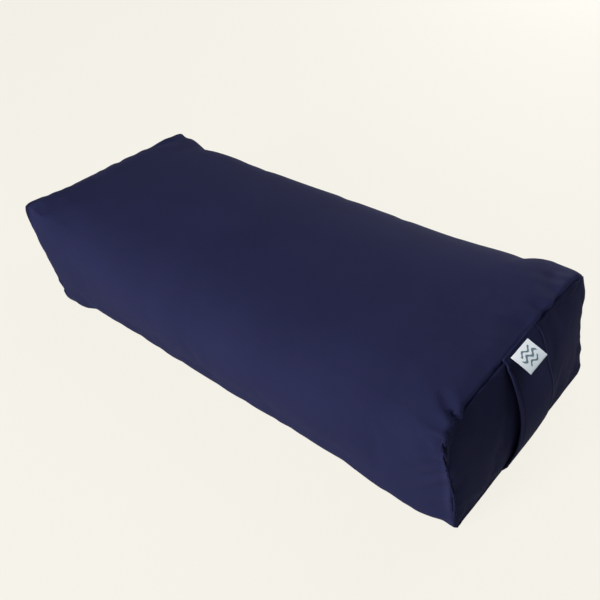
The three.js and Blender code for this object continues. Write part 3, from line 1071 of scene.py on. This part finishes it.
def nylon():
    """Dyed nylon filament: half gloss with fine draw lines."""
    n = Nodes("navy_nylon")
    lines = n.noise(1, 2, 0.5, n.scaled(2500, 400, 400))
    base = n.mix(lines, linear(22, 24, 46), linear(38, 41, 72))
    n.surface(Base_Color=base, Roughness=n.math("ADD", n.math("MULTIPLY", lines, 0.2), 0.28))
    n.bump(lines, 0.2, 0.05 * MM)
    return n.material


def enamel():
    """Navy enamel over cast zinc, rubbed to the metal here and there."""
    n = Nodes("navy_enamel")
    wear = n.noise(900, 4, 0.7)
    rubbed = n.ramp(wear, [(0.62, BLACK), (0.72, WHITE)])
    base = n.mix(rubbed, linear(27, 29, 52), linear(96, 98, 108))
    rough = n.math("ADD", n.math("MULTIPLY", n.noise(500, 3), 0.25), 0.25)
    n.surface(Base_Color=base, Metallic=0.5, Roughness=rough)
    n.bump(n.noise(1400, 2), 0.12, 0.05 * MM)
    return n.material


nylon_material, enamel_material = nylon(), enamel()
tape_material = woven(
    "zip_tape_weave", linear(27, 29, 54), linear(34, 36, 64), linear(19, 21, 42), pitch=0.6 * MM, sheen=0.15
)


def coil(name, node, side, shift):
    """A nylon coil: one filament wound in loops, whose heads leave room for the slider's neck."""
    pitch, thread = 1.4 * MM, 0.26 * MM
    x0, x1 = coil_lo[0] + thread, coil_hi[0] - thread
    near, far = 0.46 * MM, 2.7 * MM
    low, high = -1.05 * MM, 0.45 * MM
    turns = int((x1 - x0 - pitch) / pitch) - 1
    steps = 8
    total = turns * steps
    verts, quads = [], []
    for s in range(total + 1):
        a = 2 * math.pi * s / steps
        x = x0 + shift * pitch + pitch * s / steps
        up = near + thread + (far - near - 2 * thread) * (0.5 + 0.5 * math.cos(a))
        out = (low + high) / 2 + (high - low - 2 * thread) / 2 * math.sin(a)
        ahead_up, ahead_out = -math.sin(a) * (far - near), math.cos(a) * (high - low)
        norm = math.hypot(ahead_up, ahead_out)
        for c in range(4):
            b = math.pi / 2 * c + math.pi / 4
            aside = thread * math.sin(b) / norm
            verts.append(zip_point(x + thread * math.cos(b), side * (up - aside * ahead_out), out + aside * ahead_up))
    for s in range(total):
        for c in range(4):
            d = (c + 1) % 4
            quads.append((s * 4 + c, s * 4 + d, s * 4 + 4 + d, s * 4 + 4 + c))
    quads.append((0, 1, 2, 3))
    quads.append(tuple(total * 4 + c for c in (3, 2, 1, 0)))
    obj = mesh_object(name, verts, quads)
    face_outward(obj)
    finish_piece(obj, nylon_material, "cover", "zip_nylon", node)


coil("zip_teeth_upper", "zip_coil_upper", 1, 0.0)
coil("zip_teeth_lower", "zip_coil_lower", -1, 0.5)


def rounded_copy(node, name, body, width):
    """The CAD node's own shape with its edges rounded over."""
    obj, bm = cad_copy(node, name)
    bmesh.ops.dissolve_limit(bm, angle_limit=math.radians(2), verts=bm.verts, edges=bm.edges)
    bm.to_mesh(obj.data)
    bm.free()
    m = obj.modifiers.new("edge", "BEVEL")
    m.width = width
    m.segments = 3
    m.limit_method = "ANGLE"
    m.angle_limit = math.radians(35)
    m.harden_normals = False
    apply_modifiers(obj)
    obj.data.materials.clear()
    finish_piece(obj, enamel_material, body, "zip_metal", node)


rounded_copy("zip_slider", "zip_slider_cast", "slider", 0.22 * MM)
rounded_copy("zip_pull", "zip_pull_tab", "pull", 0.28 * MM)
rounded_copy("zip_stop_front", "zip_stop_front_clip", "cover", 0.3 * MM)
rounded_copy("zip_stop_rear", "zip_stop_rear_clip", "cover", 0.3 * MM)


def dress(node, material):
    """Gives a CAD node that stays in sight its material."""
    mesh = frame["nodes"][node].data
    mesh.materials.clear()
    mesh.materials.append(material)


dress("zip_tape_upper", tape_material)
dress("zip_tape_lower", tape_material)

SLOT_HALF = (SLOT_HIGH - SLOT_LOW) / 2
for side, word in ((1, "upper"), (-1, "lower")):
    places = [zip_point(x, side * (SLOT_HALF + 2.6 * MM), 0.05 * MM) for x in np.linspace(-0.244, 0.244, 30)]
    row = stitch_row(f"zip_stitches_{word}", places, [ZIP_OUT] * 30, 2.6 * MM, 1.0 * MM, 0.26 * MM, navy_thread)
    finish_piece(row, None, "cover", "canvas")

# ------------ inside the cover

calico = woven(
    "calico_weave", linear(226, 216, 192), linear(236, 228, 208), linear(206, 194, 166),
    pitch=0.8 * MM, bump=0.4, sheen=0.1,
)


def cotton_batting():
    """Loose cotton: matted fibres with darker seed flecks."""
    n = Nodes("cotton_batting")
    fibres = n.noise(260, 6, 0.75)
    tufts = n.noise(45, 3, 0.6)
    flecks = n.ramp(n.noise(700, 1, 0.3), [(0.7, BLACK), (0.76, WHITE)])
    base = n.mix(fibres, linear(214, 205, 184), linear(243, 238, 225))
    base = n.mix(n.math("MULTIPLY", flecks, 0.5), base, linear(150, 128, 96))
    n.surface(Base_Color=base, Roughness=0.95, Sheen_Weight=0.4)
    n.bump(n.math("ADD", fibres, tufts), 0.8, 1.2 * MM)
    return n.material


batting = cotton_batting()

lattice_tree = KDTree(len(rest))
for n, place in enumerate(rest):
    lattice_tree.insert(place, n)
lattice_tree.balance()


def drawn_in(points):
    """Points of the filling, moved as the cover round them moved, and a little further in."""
    out = np.empty_like(points)
    centre, share = np.array([0, 0, 0.075]), np.array([0.978, 0.957, 0.93])
    for n, point in enumerate(points):
        near = lattice_tree.find_n(point, 6)
        pull = np.array([1 / (d + 4 * MM) ** 2 for _, _, d in near])
        move = sum(w * (filled[i] - rest[i]) for w, (_, i, _) in zip(pull, near)) / pull.sum()
        depth = min(1, near[0][2] / 0.05)
        out[n] = point + move * (1 - 0.7 * depth)
    return centre + (out - centre) * share


def soft_copy(node, name, material, slot):
    """A cloth or batting piece hidden in the cover: the CAD shape in finer facets, gently uneven."""
    obj, bm = cad_copy(node, name)
    for _ in range(2):
        long_edges = [e for e in bm.edges if e.calc_length() > 30 * MM]
        if long_edges:
            bmesh.ops.subdivide_edges(bm, edges=long_edges, cuts=1, use_grid_fill=False)
            bmesh.ops.triangulate(bm, faces=[f for f in bm.faces if len(f.verts) > 4])
    bm.to_mesh(obj.data)
    bm.free()
    points = coords(obj)
    drift = np.stack([value_noise(points, 0.05, seed) for seed in (2.0, 5.0, 8.0)], -1)
    set_coords(obj, drawn_in(points) + drift * 0.25 * MM)
    return finish_piece(obj, material, "cover", slot, node)


for node in ("liner_wrap", "liner_end_front", "liner_end_rear"):
    soft_copy(node, f"{node}_calico", calico, "calico")
for node in ["batting_blanket"] + [f"batting_layer_{i}" for i in (1, 2, 3, 4)]:
    soft_copy(node, f"{node}_cotton", batting, "batting")

dress("care_label", woven(
    "care_label_satin", linear(238, 240, 240), linear(248, 248, 248), linear(214, 218, 220),
    pitch=0.4 * MM, bump=0.3, sheen=0.2,
))

# ------------ floor and studio light

PALE = linear(244, 241, 232)


def floor_material():
    """A pale floor that glows evenly, so that it shows no horizon."""
    n = Nodes("studio_floor")
    mottle = n.noise(3, 2)
    base = n.mix(mottle, tuple(c * 0.02 for c in PALE), tuple(c * 0.024 for c in PALE))
    n.surface(
        Base_Color=base, Roughness=0.9, Specular_IOR_Level=0.1, Emission_Color=PALE, Emission_Strength=FLOOR_GLOW
    )
    return n.material


FLOOR_GLOW, WORLD, KEY, SIDE, BACK = 0.965, 1.0, 61, 9, 45
FAR = 60  # half the floor's width
floor_corners = [(-FAR, -FAR, 0), (FAR, -FAR, 0), (FAR, FAR, 0), (-FAR, FAR, 0)]
floor = mesh_object("studio_floor", floor_corners, [(0, 1, 2, 3)], False)
floor.data.materials.append(floor_material())


def area_light(name, place, aim, size, energy, colour=(1, 1, 1)):
    data = bpy.data.lights.new(name, "AREA")
    data.shape = "DISK"
    data.size = size
    data.energy = energy
    data.color = colour
    obj = bpy.data.objects.new(name, data)
    bpy.context.collection.objects.link(obj)
    obj.location = place
    obj.rotation_euler = (Vector(aim) - Vector(place)).to_track_quat("-Z", "Y").to_euler()


area_light("key", (-0.16, -1.6, 0.78), (0, 0, 0.08), 0.5, KEY, (1.0, 0.965, 0.97))
area_light("side", (0.42, 0.55, 0.95), (0.2, 0.05, 0.15), 0.5, SIDE)
area_light("back", (-0.5, 2.2, 0.5), (0, 0.1, 0.08), 0.8, BACK)

world = bpy.data.worlds.new("studio")
bpy.context.scene.world = world
world.use_nodes = True
sky = world.node_tree
background = sky.nodes["Background"]
direction = sky.nodes.new("ShaderNodeTexCoord")
height = sky.nodes.new("ShaderNodeSeparateXYZ")
fade = sky.nodes.new("ShaderNodeValToRGB")
for element, position, share in zip(fade.color_ramp.elements, (0.12, 0.42), (1, 0.16)):
    element.position, element.color = position, (*[c * share for c in PALE], 1)
sky.links.new(direction.outputs["Generated"], height.inputs[0])
sky.links.new(height.outputs[2], fade.inputs[0])
sky.links.new(fade.outputs[0], background.inputs[0])
background.inputs[1].default_value = WORLD

view_settings = bpy.context.scene.view_settings
view_settings.view_transform = "Standard"
view_settings.look = "None"
view_settings.exposure = 0
view_settings.gamma = 1
